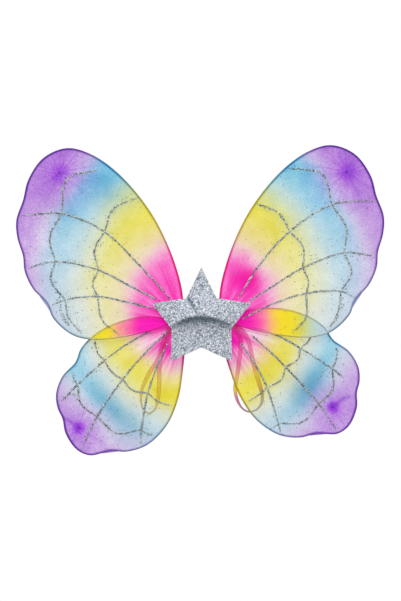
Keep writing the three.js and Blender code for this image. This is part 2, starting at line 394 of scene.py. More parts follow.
def drawn_line(name, points, radius, radii=None, sides=3, closed=False):
    """A round line through the points, made from a path primitive; sides is the bevel's resolution."""
    deselect_all()
    bpy.ops.curve.primitive_nurbs_path_add()
    piece = bpy.context.active_object
    curve = piece.data
    curve.splines.clear()
    strand = curve.splines.new("POLY")
    strand.points.add(len(points) - 1)
    for i, (point, co) in enumerate(zip(strand.points, points)):
        point.co = (*co, 1)
        point.radius = 1 if radii is None else radii[i]
    strand.use_cyclic_u = closed
    curve.dimensions = "3D"
    curve.bevel_depth = radius
    curve.bevel_resolution = sides
    curve.use_fill_caps = not closed
    bpy.ops.object.convert(target="MESH")
    return named(bpy.context.active_object, name)


# ---------- helpers: materials ----------

def hex_colour(text):
    values = [int(text[i: i + 2], 16) / 255 for i in (1, 3, 5)]
    return [v / 12.92 if v <= 0.04045 else ((v + 0.055) / 1.055) ** 2.4 for v in values]


class Nodes:
    """Short words for building a node tree."""

    def __init__(self, tree):
        self.tree = tree

    def add(self, kind, inputs=(), **settings):
        node = self.tree.nodes.new(kind)
        for key, value in settings.items():
            setattr(node, key, value)
        for key, value in dict(inputs).items():
            self.put(node.inputs[key], value)
        return node

    def put(self, socket, value):
        if isinstance(value, bpy.types.NodeSocket):
            self.tree.links.new(value, socket)
        else:
            socket.default_value = value

    def maths(self, operation, a, b=0.0, c=0.0, clamp=False):
        node = self.add("ShaderNodeMath", operation=operation, use_clamp=clamp)
        for socket, value in zip(node.inputs, (a, b, c)):
            self.put(socket, value)
        return node.outputs[0]

    def mix(self, factor, a, b, blend="MIX"):
        node = self.add("ShaderNodeMix", data_type="RGBA", blend_type=blend)
        self.put(node.inputs["Factor"], factor)
        self.put(node.inputs["A"], a)
        self.put(node.inputs["B"], b)
        return node.outputs["Result"]

    def ramp(self, factor, stops, interpolation="LINEAR"):
        node = self.add("ShaderNodeValToRGB")
        node.color_ramp.interpolation = interpolation
        elements = node.color_ramp.elements
        while len(elements) > 1:
            elements.remove(elements[-1])
        for i, (place, colour) in enumerate(stops):
            element = elements[0] if i == 0 else elements.new(place)
            element.position = place
            element.color = (*colour, 1)
        self.put(node.inputs[0], factor)
        return node.outputs["Color"]

    def span(self, value, low, high, to_low=0.0, to_high=1.0):
        limits = {"From Min": low, "From Max": high, "To Min": to_low, "To Max": to_high}
        node = self.add("ShaderNodeMapRange", limits)
        self.put(node.inputs["Value"], value)
        return node.outputs["Result"]

    def noise(self, vector, scale, detail=2.0, roughness=0.5):
        node = self.add("ShaderNodeTexNoise", {"Vector": vector, "Scale": scale, "Detail": detail,
                                               "Roughness": roughness})
        return node.outputs["Fac"]

    def attribute(self, name):
        return self.add("ShaderNodeAttribute", attribute_name=name)

    def place(self):
        return self.add("ShaderNodeTexCoord").outputs["Object"]

    def bump(self, height, strength, distance):
        given = {"Height": height, "Strength": strength, "Distance": distance}
        return self.add("ShaderNodeBump", given).outputs[0]


def new_material(name):
    material = bpy.data.materials.new(name)
    material.use_nodes = True
    n = Nodes(material.node_tree)
    shader = material.node_tree.nodes["Principled BSDF"]
    return material, n, shader


def grey(v):
    return (v, v, v, 1)


def tone(text):
    return (*hex_colour(text), 1)


def give(piece, material, slot, body, *nodes):
    piece.data.materials.clear()
    piece.data.materials.append(material)
    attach(piece, body)
    if nodes:
        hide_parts(*nodes)
    return piece


# ---------- node groups ----------

def group_tree(name, inputs, outputs):
    tree = bpy.data.node_groups.new(name, "ShaderNodeTree")
    for label, kind, value in inputs:
        socket = tree.interface.new_socket(label, in_out="INPUT", socket_type=kind)
        if value is not None:
            socket.default_value = value
    for label, kind in outputs:
        tree.interface.new_socket(label, in_out="OUTPUT", socket_type=kind)
    n = Nodes(tree)
    return tree, n, n.add("NodeGroupInput").outputs, n.add("NodeGroupOutput").inputs


def make_glitter_group():
    """Flakes lying at all angles: a colour, a roughness and a normal for each."""
    tree, n, given, out = group_tree(
        "glitter flakes",
        [("Size", "NodeSocketFloat", 900.0), ("Dark", "NodeSocketColor", tone("#5f6a70")),
         ("Light", "NodeSocketColor", tone("#e8eaf0")), ("Tilt", "NodeSocketFloat", 0.5)],
        [("Color", "NodeSocketColor"), ("Roughness", "NodeSocketFloat"), ("Normal", "NodeSocketVector")])
    where = n.place()
    flakes = n.add("ShaderNodeTexVoronoi", {"Vector": where, "Scale": given["Size"]})
    clumps = n.noise(where, 330.0, 2.0)
    parts = n.add("ShaderNodeSeparateColor", {"Color": flakes.outputs["Color"]}).outputs
    shine = n.maths("ADD", n.maths("MULTIPLY", parts[0], 0.75), n.maths("MULTIPLY", clumps, 0.5))
    colour = n.mix(n.span(shine, 0.25, 0.95), given["Dark"], given["Light"])
    tints = n.ramp(parts[1], [(0.0, hex_colour("#9fd0cf")), (0.22, hex_colour("#ffffff")),
                              (0.78, hex_colour("#ffffff")), (1.0, hex_colour("#cdb6e6"))])
    n.put(out["Color"], n.mix(0.7, colour, tints, "MULTIPLY"))
    n.put(out["Roughness"], n.span(parts[2], 0.0, 1.0, 0.22, 0.6))
    lean = n.add("ShaderNodeVectorMath", operation="SUBTRACT")
    n.put(lean.inputs[0], flakes.outputs["Color"])
    lean.inputs[1].default_value = (0.5, 0.5, 0.5)
    leaned = n.add("ShaderNodeVectorMath", {"Scale": given["Tilt"]}, operation="SCALE")
    n.put(leaned.inputs[0], lean.outputs[0])
    total = n.add("ShaderNodeVectorMath", operation="ADD")
    n.put(total.inputs[0], n.add("ShaderNodeNewGeometry").outputs["Normal"])
    n.put(total.inputs[1], leaned.outputs[0])
    unit = n.add("ShaderNodeVectorMath", operation="NORMALIZE")
    n.put(unit.inputs[0], total.outputs[0])
    n.put(out["Normal"], unit.outputs[0])
    return tree


def make_fibre_group():
    """Fine threads across and along a UV map: a height, and a painted shade that is darker where the threads lie low.
    """
    tree, n, given, out = group_tree(
        "woven threads",
        [("Across", "NodeSocketFloat", 2.0), ("Along", "NodeSocketFloat", 2.0), ("Rough", "NodeSocketFloat", 0.3)],
        [("Height", "NodeSocketFloat"), ("Shade", "NodeSocketFloat")])
    uv = n.add("ShaderNodeUVMap", uv_map="UVMap").outputs[0]
    parts = n.add("ShaderNodeSeparateXYZ", {"Vector": uv}).outputs
    warp = n.maths("SINE", n.maths("MULTIPLY", parts[0], given["Across"]))
    weft = n.maths("SINE", n.maths("MULTIPLY", parts[1], given["Along"]))
    both = n.maths("ADD", n.maths("MULTIPLY", warp, 0.5), n.maths("MULTIPLY", weft, 0.35))
    fuzz = n.noise(uv, 900.0, 2.0)
    height = n.maths("ADD", both, n.maths("MULTIPLY", fuzz, given["Rough"]))
    n.put(out["Height"], height)
    n.put(out["Shade"], n.span(height, -0.9, 1.1))
    return tree


GLITTER_GROUP = make_glitter_group()
FIBRE_GROUP = make_fibre_group()


# ---------- materials ----------

def filter_for(seen):
    """What one layer passes, channel by channel, so that two layers over white look like the seen colour."""
    fibre, gap = SHEER * FIBRE, 1 - SHEER
    passed = []
    for wanted in seen:
        low, high = 0.0, 1.0
        for _ in range(30):
            t = (low + high) / 2
            shown = fibre * t + fibre * gap * gap * t ** 3 + gap * gap * t * t
            low, high = (t, high) if shown < wanted else (low, t)
        passed.append((low + high) / 2)
    return passed


def nylon_material(form):
    """Sheer dyed nylon: fibres that scatter the dye's colour and gaps that pass it."""
    material, n, shader = new_material(f"{form}_sheer_nylon")
    where = n.place()
    reach = 300.0
    dye = n.attribute("dye").outputs["Fac"]
    soft = n.maths("MULTIPLY", n.maths("SUBTRACT", n.noise(where, 24.0, 3.0), 0.5), 22.0)
    fine = n.maths("MULTIPLY", n.maths("SUBTRACT", n.noise(where, 420.0, 2.0), 0.5), 12.0)
    at = n.maths("DIVIDE", n.maths("ADD", n.maths("ADD", dye, soft), fine), reach)
    sides = []
    for side in ("leading", "trailing"):
        stops = [(place / reach, filter_for(hex_colour(colour))) for place, colour in DYES[form][side]]
        sides.append(n.ramp(at, stops, "B_SPLINE"))
    colour = n.mix(n.attribute("lean").outputs["Fac"], *sides)
    toe = n.attribute("toe").outputs["Fac"]
    colour = n.mix(n.span(toe, 0.1, 1.0, 0.0, 0.5), colour, (*filter_for(hex_colour("#a44ed8")), 1))
    root_way = n.attribute("root_way").outputs["Vector"]
    broad = n.noise(root_way, 6.5, 2.0, 0.5)
    narrow = n.noise(root_way, 30.0, 3.0, 0.6)
    streaks = n.maths("ADD", n.maths("MULTIPLY", broad, 0.62), n.maths("MULTIPLY", narrow, 0.38))
    toe_streaks = n.noise(n.attribute("toe_way").outputs["Vector"], 7.0, 4.0, 0.7)
    root = n.attribute("root").outputs["Fac"]
    rim = n.attribute("rim").outputs["Fac"]
    gathers = n.maths("MULTIPLY", n.span(streaks, 0.38, 0.66, -0.5, 1.35), root)
    pinches = n.maths("MULTIPLY", n.span(toe_streaks, 0.35, 0.65, -0.34, 0.34), toe)
    coarse = n.span(dye, 120.0, 200.0, 0.7, 1.0)
    grain = n.maths("ADD", n.maths("MULTIPLY", coarse, n.span(n.noise(where, 600.0, 2.0), 0.32, 0.68, -0.24, 0.42)),
                    n.span(n.noise(where, 60.0, 2.0), 0.3, 0.7, -0.14, 0.14))
    dense = n.attribute("dense").outputs["Fac"]
    # extra dye: pink turns to magenta, the other colours only get deeper
    more = n.maths("SUBTRACT", n.maths("ADD", gathers, dense), 1.0)
    pink = n.span(dye, 56.0, 84.0, 1.0, 0.0)
    rich = n.maths("MULTIPLY", n.span(more, 0.0, 1.5, 0.0, 0.95), pink)
    colour = n.mix(rich, colour, (*filter_for(hex_colour("#f410be")), 1))
    spot = n.span(toe, 0.74, 0.93, 0.0, 0.9 if form == "lower" else 0.45)
    colour = n.mix(spot, colour, (*filter_for(hex_colour("#9636d8")), 1))
    deeper = n.maths("MULTIPLY", more, n.maths("SUBTRACT", 1.0, n.maths("MAXIMUM", rich, spot)))
    extra = n.maths("ADD", pinches, n.maths("ADD", grain, n.maths("MULTIPLY", rim, 5.0)))
    depth = n.maths("MAXIMUM", n.maths("ADD", n.maths("ADD", extra, deeper), 1.0), 0.25)
    tint = n.add("ShaderNodeGamma", {"Color": colour, "Gamma": depth}).outputs[0]
    stops = [(place / reach, filter_for(hex_colour(seen))) for place, seen in SHARED_DYES]
    span = n.attribute("reach").outputs["Fac"]
    shared = n.ramp(n.maths("DIVIDE", n.maths("ADD", n.maths("ADD", span, soft), fine), reach), stops, "B_SPLINE")
    both_dyed = n.maths("MULTIPLY", n.attribute("shared").outputs["Fac"], n.span(rim, 0.0, 1.0, 0.92, 0.3))
    tint = n.mix(both_dyed, tint, shared)
    base = n.mix(1.0, tint, grey(FIBRE), "MULTIPLY")
    specks = n.add("ShaderNodeTexVoronoi", {"Vector": where, "Scale": 330.0})
    pick = n.add("ShaderNodeSeparateColor", {"Color": specks.outputs["Color"]}).outputs[0]
    chosen = n.maths("GREATER_THAN", pick, n.span(n.attribute("spray").outputs["Fac"], 0.0, 1.0, 0.965, 0.6))
    fleck = n.maths("MULTIPLY", n.maths("LESS_THAN", specks.outputs["Distance"], 0.24), chosen)
    base = n.mix(fleck, base, tone("#62666e"))
    threads = {"Across": 9000.0, "Along": 9000.0, "Rough": 0.6}
    weave = n.add("ShaderNodeGroup", threads, node_tree=FIBRE_GROUP).outputs
    n.put(shader.inputs["Base Color"], base)
    n.put(shader.inputs["Roughness"], n.span(weave["Shade"], 0.0, 1.0, 0.62, 0.48))
    n.put(shader.inputs["Normal"], n.bump(weave["Height"], 0.15, 0.0001))
    shader.inputs["Specular IOR Level"].default_value = 0.3
    shader.inputs["Sheen Weight"].default_value = 0.15
    gaps = n.add("ShaderNodeBsdfTransparent", {"Color": tint})
    cover = n.maths("ADD", n.maths("MULTIPLY", rim, 0.45), n.maths("MULTIPLY", gathers, 0.06))
    cover = n.maths("ADD", n.maths("ADD", cover, SHEER), n.maths("MULTIPLY", fleck, 0.7), clamp=True)
    both = n.add("ShaderNodeMixShader")
    n.put(both.inputs[0], cover)
    n.put(both.inputs[1], gaps.outputs[0])
    n.put(both.inputs[2], shader.outputs[0])
    n.put(material.node_tree.nodes["Material Output"].inputs["Surface"], both.outputs[0])
    return material


def glitter_glue_material():
    material, n, shader = new_material("silver_glitter_glue")
    given = {"Size": 820.0, "Dark": tone("#20292a"), "Light": tone("#ccd6d4"), "Tilt": 0.5}
    flakes = n.add("ShaderNodeGroup", given, node_tree=GLITTER_GROUP).outputs
    n.put(shader.inputs["Base Color"], flakes["Color"])
    n.put(shader.inputs["Roughness"], flakes["Roughness"])
    n.put(shader.inputs["Normal"], flakes["Normal"])
    shader.inputs["Metallic"].default_value = 0.2
    where = n.place()
    grain = n.add("ShaderNodeTexVoronoi", {"Vector": where, "Scale": 760.0})
    pick = n.add("ShaderNodeSeparateColor", {"Color": grain.outputs["Color"]}).outputs[0]
    cover = n.attribute("cover").outputs["Fac"]
    patch = n.maths("MULTIPLY", n.maths("SUBTRACT", n.noise(where, 160.0, 3.0), 0.5), 0.9)
    n.put(shader.inputs["Alpha"], n.maths("LESS_THAN", pick, n.maths("ADD", cover, patch)))
    return material


def glitter_star_material():
    material, n, shader = new_material("silver_glitter_foam")
    flakes = n.add("ShaderNodeGroup", {"Size": 950.0, "Dark": tone("#55626b"), "Light": tone("#e2e6ee"), "Tilt": 0.5},
                   node_tree=GLITTER_GROUP).outputs
    # painted shade: the flakes' colour is darkened to teal grey under the star's ridge and along its crease
    painted_shade = n.attribute("painted_shade").outputs["Fac"]
    turned = n.mix(0.9, flakes["Color"], tone("#58787e"), "MULTIPLY")
    n.put(shader.inputs["Base Color"], n.mix(painted_shade, flakes["Color"], turned))
    n.put(shader.inputs["Roughness"], flakes["Roughness"])
    n.put(shader.inputs["Normal"], flakes["Normal"])
    shader.inputs["Metallic"].default_value = 0.25
    return material


def foam_back_material():
    material, n, shader = new_material("white_foam_back")
    where = n.place()
    cells = n.add("ShaderNodeTexVoronoi", {"Vector": where, "Scale": 1500.0}).outputs["Distance"]
    n.put(shader.inputs["Base Color"], n.mix(n.noise(where, 60.0), tone("#e4e2e4"), tone("#f2f1f3")))
    n.put(shader.inputs["Normal"], n.bump(cells, 0.3, 0.0002))
    shader.inputs["Roughness"].default_value = 0.8
    return material


def wire_material():
    material, n, shader = new_material("white_coated_wire")
    where = n.place()
    wear = n.noise(where, 240.0, 3.0)
    n.put(shader.inputs["Base Color"], n.mix(n.span(wear, 0.55, 0.75), tone("#e6dfe8"), tone("#b9b2bd")))
    n.put(shader.inputs["Roughness"], n.span(wear, 0.3, 0.8, 0.3, 0.5))
    n.put(shader.inputs["Normal"], n.bump(wear, 0.1, 0.0002))
    return material


def thread_material(name, dark, light):
    """Wound sewing thread: strands show as fine ridges along the object's own lines."""
    material, n, shader = new_material(name)
    where = n.place()
    lint = n.noise(where, 1800.0, 3.0, 0.7)
    n.put(shader.inputs["Base Color"], n.mix(n.span(lint, 0.3, 0.7), tone(dark), tone(light)))
    n.put(shader.inputs["Normal"], n.bump(lint, 0.5, 0.0003))
    shader.inputs["Roughness"].default_value = 0.7
    shader.inputs["Sheen Weight"].default_value = 0.3
    return material


def felt_material():
    material, n, shader = new_material("white_felt")
    where = n.place()
    hairs = n.noise(where, 700.0, 6.0, 0.75)
    clumps = n.noise(where, 90.0, 3.0)
    n.put(shader.inputs["Base Color"], n.mix(n.maths("MULTIPLY", hairs, clumps), tone("#d9d4da"), tone("#fbfafb")))
    n.put(shader.inputs["Normal"], n.bump(hairs, 0.8, 0.0006))
    shader.inputs["Roughness"].default_value = 0.95
    shader.inputs["Sheen Weight"].default_value = 0.4
    return material


def tape_material():
    material, n, shader = new_material("white_binding_tape")
    threads = {"Across": 12000.0, "Along": 12000.0, "Rough": 0.5}
    weave = n.add("ShaderNodeGroup", threads, node_tree=FIBRE_GROUP).outputs
    # painted shade: the tape's colour is darker where its threads lie low
    n.put(shader.inputs["Base Color"], n.mix(weave["Shade"], tone("#d8cbd6"), tone("#f4eef3")))
    n.put(shader.inputs["Normal"], n.bump(weave["Height"], 0.4, 0.0002))
    shader.inputs["Roughness"].default_value = 0.6
    return material


def glue_material():
    material, n, shader = new_material("set_hot_glue")
    lumps = n.noise(n.place(), 260.0, 3.0)
    n.put(shader.inputs["Base Color"], n.mix(lumps, tone("#e6dfcb"), tone("#f6f2e8")))
    n.put(shader.inputs["Normal"], n.bump(lumps, 0.4, 0.0006))
    shader.inputs["Roughness"].default_value = 0.3
    return material


def elastic_material(side_name):
    """Flat ribbed elastic, ribs along it and weft across it, dyed with the wing it hangs behind."""
    material, n, shader = new_material(f"{side_name}_dyed_elastic")
    given = {"Across": 2 * math.pi * 6 / STRAP_W, "Along": 2 * math.pi * 1100, "Rough": 0.4}
    ribs = n.add("ShaderNodeGroup", given, node_tree=FIBRE_GROUP).outputs
    where = n.add("ShaderNodeSeparateXYZ", {"Vector": n.place()}).outputs
    out = n.maths("SUBTRACT", n.maths("ABSOLUTE", where[0]), KNOT_X)
    square = n.maths("ADD", n.maths("MULTIPLY", out, out), n.maths("MULTIPLY", where[2], where[2]))
    blush = n.maths("MULTIPLY", n.maths("SUBTRACT", n.noise(n.place(), 40.0, 2.0), 0.5), 0.02)
    along = n.maths("ADD", n.maths("SQRT", square), blush)
    stops = [(place / 150, hex_colour(seen)) for place, seen in STRAP_DYES[side_name]]
    light = n.ramp(n.maths("DIVIDE", along, 0.15), stops)
    uv = n.add("ShaderNodeUVMap", uv_map="UVMap").outputs[0]
    off_middle = n.maths("ABSOLUTE", n.add("ShaderNodeSeparateXYZ", {"Vector": uv}).outputs[0])
    # darker towards both edges of the strap
    light = n.mix(n.span(off_middle, 0.3 * STRAP_W, 0.48 * STRAP_W, 0.0, 0.7), light, tone("#bc9c94"), "MULTIPLY")
    # painted shade: the elastic's colour is darker between its ribs
    shade_between_ribs = n.maths("MULTIPLY", n.maths("SUBTRACT", 1.0, ribs["Shade"]), 0.5)
    n.put(shader.inputs["Base Color"], n.mix(shade_between_ribs, light, tone("#e0d0c8"), "MULTIPLY"))
    n.put(shader.inputs["Normal"], n.bump(ribs["Height"], 0.6, 0.0003))
    shader.inputs["Roughness"].default_value = 0.8
    shader.inputs["Sheen Weight"].default_value = 0.3
    passed = n.add("ShaderNodeGamma", {"Color": light, "Gamma": 0.6}).outputs[0]
    glow = n.add("ShaderNodeBsdfTransparent", {"Color": passed})
    both = n.add("ShaderNodeMixShader")
    both.inputs[0].default_value = 0.15
    n.put(both.inputs[1], glow.outputs[0])
    n.put(both.inputs[2], shader.outputs[0])
    n.put(material.node_tree.nodes["Material Output"].inputs["Surface"], both.outputs[0])
    return material


NYLON = {form: nylon_material(form) for form in ("upper", "lower")}
GLITTER_GLUE = glitter_glue_material()
STAR_FACE = glitter_star_material()
STAR_BACK = foam_back_material()
WIRE = wire_material()
PINK_THREAD = thread_material("pink_thread", "#d8489c", "#f59acb")
PURPLE_THREAD = thread_material("purple_thread", "#7a34ae", "#b47ad8")
FELT = felt_material()
TAPE = tape_material()
GLUE = glue_material()
ELASTIC = {side_name: elastic_material(side_name) for side_name in ("left", "right")}


# ---------- wings ----------

def plane_of(name):
    low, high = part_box(f"{name}_nylon_sleeve")
    return (low[1] + high[1]) / 2


def placed(name, flat, depth=0.0):
    """Points [out, up] in millimetres on a wing, as places in the frame; depth is metres behind its plane."""
    wing = WINGS[name]
    turn = math.radians(wing["turn"])
    flat = np.array(flat, float) * MM
    out = flat[:, 0] * math.cos(turn) - flat[:, 1] * math.sin(turn)
    up = flat[:, 0] * math.sin(turn) + flat[:, 1] * math.cos(turn)
    x = wing["side"] * (KNOT_X + out)
    y = np.full(len(flat), plane_of(name)) + depth
    return np.stack([x, y, up], axis=1)


def edge_line(form, count):
    return spline(EDGES[form], count)


def coons(form, across, along):
    """A grid over the wing: rows from the knot to the outer edge, columns from leading to trailing edge."""
    line = edge_line(form, 1201)
    cuts = [int(np.argmin(np.linalg.norm(line - np.array(corner), axis=1))) for corner in CORNERS[form]]
    lead = evenly(line[: cuts[0] + 1], along + 1)
    outer = evenly(line[cuts[0]: cuts[1] + 1], across + 1)
    trail = evenly(line[cuts[1]:][::-1], along + 1)
    root = np.linspace(line[0], line[-1], across + 1)
    u = np.linspace(0, 1, across + 1)[None, :, None]
    v = np.linspace(0, 1, along + 1)[:, None, None]
    sides = (1 - u) * lead[:, None] + u * trail[:, None]
    ends = (1 - v) * root[None] + v * outer[None]
    corners = ((1 - u) * (1 - v) * line[0] + u * (1 - v) * line[-1] + (1 - u) * v * outer[0] + u * v * outer[-1])
    return sides + ends - corners


def away_from_edge(flat, line):
    """Distance of each point from the edge line, in millimetres."""
    nearest = np.full(len(flat), 1e9)
    for start in range(0, len(flat), 4000):
        part = flat[start: start + 4000]
        gaps = np.linalg.norm(part[:, None] - line[None], axis=2)
        nearest[start: start + 4000] = gaps.min(axis=1)
    return nearest


def pleats(form, name, flat):
    """How far the cloth stands out of its plane, in mm: folds from the knot, a pinch at the toe, ripples."""
    r = np.hypot(flat[:, 0], flat[:, 1])
    angle = np.arctan2(flat[:, 1], flat[:, 0])
    seed = 3.7 * list(WINGS).index(name)
    folds = np.sin(angle * 23 + seed) + 0.6 * np.sin(angle * 41 + 2 * seed) + 0.4 * np.sin(angle * 67 + 5 * seed)
    away = folds * 0.42 * np.exp(-((r / 62) ** 1.3)) * np.clip(r / 12, 0, 1)
    toe = np.array(VEINS[name]["toe"])
    d = flat - toe
    t = np.hypot(d[:, 0], d[:, 1])
    spokes = np.sin(np.arctan2(d[:, 1], d[:, 0]) * 13 + seed)
    away += 0.28 * spokes * np.exp(-((t / 20) ** 1.5)) * np.clip(t / 3, 0, 1)
    ripples = np.array([noise.noise(Vector((p[0] / 38, p[1] / 38, seed))) for p in flat])
    return away + 0.35 * ripples


def dye_reach(form, flat):
    """The distance that the dye's bands follow: they lie farther out towards the leading edge."""
    r = np.hypot(flat[:, 0], flat[:, 1])
    angle = np.degrees(np.arctan2(flat[:, 1], flat[:, 0]))
    if form == "upper":
        return r / (1 + 0.2 * (angle - 45) / 45)
    lean = (angle + 40) / 45
    return r / (1 + 0.1 * lean * lean)


def shared_area(name, flat):
    """1 where a side's upper and lower wing lie over each other, 0 elsewhere."""
    side_name, form = name.split("_")
    other = "lower" if form == "upper" else "upper"
    outline = edge_line(other, 900)
    corner = np.array(CORNERS["upper"][1] if other == "upper" else CORNERS["lower"][0])
    cut = int(np.argmin(np.linalg.norm(outline - corner, axis=1)))
    part = outline[cut:][::-1] if other == "upper" else outline[: cut + 1]
    turn = math.radians(WINGS[f"{side_name}_{other}"]["turn"] - WINGS[name]["turn"])
    out = part[:, 0] * math.cos(turn) - part[:, 1] * math.sin(turn)
    up = part[:, 0] * math.sin(turn) + part[:, 1] * math.cos(turn)
    bound = np.interp(flat[:, 0], out, up, right=999 if other == "upper" else -999)
    inside = flat[:, 1] - bound if other == "upper" else bound - flat[:, 1]
    return np.clip(inside / 2.5 + 0.5, 0, 1)


def add_attributes(piece, name, flat, rim):
    form = WINGS[name]["form"]
    mesh = piece.data
    r = np.hypot(flat[:, 0], flat[:, 1])
    angle = np.arctan2(flat[:, 1], flat[:, 0])
    toe = flat - np.array(VEINS[name]["toe"])
    t = np.hypot(toe[:, 0], toe[:, 1])
    toe_angle = np.arctan2(toe[:, 1], toe[:, 0])
    first, last = (80, 5) if form == "upper" else (5, -80)
    dense = np.ones(len(flat))
    for (u, v), size, more in PATCHES[name]:
        away = np.hypot(flat[:, 0] - u, flat[:, 1] - v)
        dense += more * np.exp(-((away / size) ** 2))
    if form == "lower":
        middle = np.exp(-(((np.degrees(angle) + 42) / 15) ** 2))
        dense += 0.9 * middle * np.exp(-(((dye_reach(form, flat) - 145) / 14) ** 2))
    if form == "lower":
        away = away_from_edge(flat, spline(CREASE[name], 30))
        dense += 0.8 * np.exp(-((away / 1.9) ** 2))
    toe_size = 36 if form == "upper" else 24
    lines = [spline(points, 40) for points in VEINS[name]["ribs"] + VEINS[name]["scallops"]]
    drawn = np.vstack(lines)
    drawn = drawn[np.hypot(drawn[:, 0], drawn[:, 1]) > 118]
    spray = np.exp(-away_from_edge(flat, drawn) / 5.0)
    floats = {
        "dye": dye_reach(form, flat),
        "lean": np.clip((first - np.degrees(angle)) / (first - last), 0, 1),
        "dense": dense,
        "shared": shared_area(name, flat),
        "reach": np.interp(r, *REACH_STOPS[name.split("_")[0]]),
        "root": np.exp(-((r / 62) ** 2)),
        "toe": np.exp(-((t / toe_size) ** 1.4)),
        "rim": rim,
        "spray": spray,
    }
    for label, values in floats.items():
        mesh.attributes.new(label, "FLOAT", "POINT").data.foreach_set("value", np.asarray(values, np.float32))
    for label, turn in (("root_way", angle), ("toe_way", toe_angle)):
        way = np.stack([np.cos(turn), np.sin(turn), np.zeros(len(flat))], axis=1)
        attribute = mesh.attributes.new(label, "FLOAT_VECTOR", "POINT")
        attribute.data.foreach_set("vector", way.astype(np.float32).ravel())


def make_sleeve(name):
    """Two layers of nylon over the wire loop, joined by the cloth that wraps round the wire."""
    form = WINGS[name]["form"]
    across, along = (96, 120) if form == "upper" else (84, 96)
    grid = coons(form, across, along)
    rows, columns = grid.shape[:2]
    flat = grid.reshape(-1, 2)
    line = edge_line(form, 700)
    inset = away_from_edge(flat, line)
    lift = pleats(form, name, flat) * np.clip(inset / 9, 0, 1)
    slack = 0.22 * (1 - np.exp(-inset / 20))
    index = np.arange(rows * columns).reshape(rows, columns)
    border = np.concatenate([index[:, 0], index[-1, 1:], index[-2::-1, -1], index[0, -2:0:-1]])
    count = len(flat)
    front = placed(name, flat, (lift + slack) * MM - FABRIC_R)
    back = placed(name, flat, (lift - slack) * MM + FABRIC_R)
    vertices = [front, back]
    flats = [flat, flat]
    rims = [np.exp(-((inset / 1.0) ** 2)), np.exp(-((inset / 1.0) ** 2))]
    # round the wire, from the front layer to the back one
    loop = flat[border]
    ahead = np.roll(loop, -1, axis=0) - np.roll(loop, 1, axis=0)
    ahead /= np.linalg.norm(ahead, axis=1)[:, None]
    outward = np.stack([-ahead[:, 1], ahead[:, 0]], axis=1)
    turns = 5
    for k in range(1, turns):
        swing = math.pi * k / turns
        out = loop + outward * (FABRIC_R / MM) * math.sin(swing)
        vertices.append(placed(name, out, -FABRIC_R * math.cos(swing)))
        flats.append(out)
        rims.append(np.ones(len(loop)))
    faces = []
    flip = WINGS[name]["side"] > 0
    for i in range(rows - 1):
        for j in range(columns - 1):
            quad = (index[i, j], index[i + 1, j], index[i + 1, j + 1], index[i, j + 1])
            faces.append(quad if not flip else quad[::-1])
            behind = tuple(q + count for q in quad)
            faces.append(behind[::-1] if not flip else behind)
    rings = [border] + [2 * count + k * len(border) + np.arange(len(border)) for k in range(turns - 1)]
    rings.append(border + count)
    for ring, after in zip(rings, rings[1:]):
        for i in range(len(border)):
            j = (i + 1) % len(border)
            faces.append((ring[i], ring[j], after[j], after[i]))
    piece = mesh_piece(f"{name}_stretched_nylon", np.vstack(vertices), faces)
    all_flat = np.vstack(flats)
    add_attributes(piece, name, all_flat, np.concatenate(rims))
    uv = piece.data.uv_layers.new(name="UVMap")
    corners = np.empty(len(piece.data.loops), int)
    piece.data.loops.foreach_get("vertex_index", corners)
    uv.data.foreach_set("uv", (all_flat[corners] * MM).astype(np.float32).ravel())
    face_outwards(piece)
    smooth(piece, 80)
    give(piece, NYLON[form], "nylon", f"{name}_wing", f"{name}_nylon_sleeve")
    return piece


def make_wire(name):
    form = WINGS[name]["form"]
    line = edge_line(form, 260)
    piece = drawn_line(f"{name}_bent_wire", placed(name, line), WIRE_R, sides=2)
    smooth(piece, 60)
    return give(piece, WIRE, "wire", f"{name}_wing", f"{name}_wire_loop")


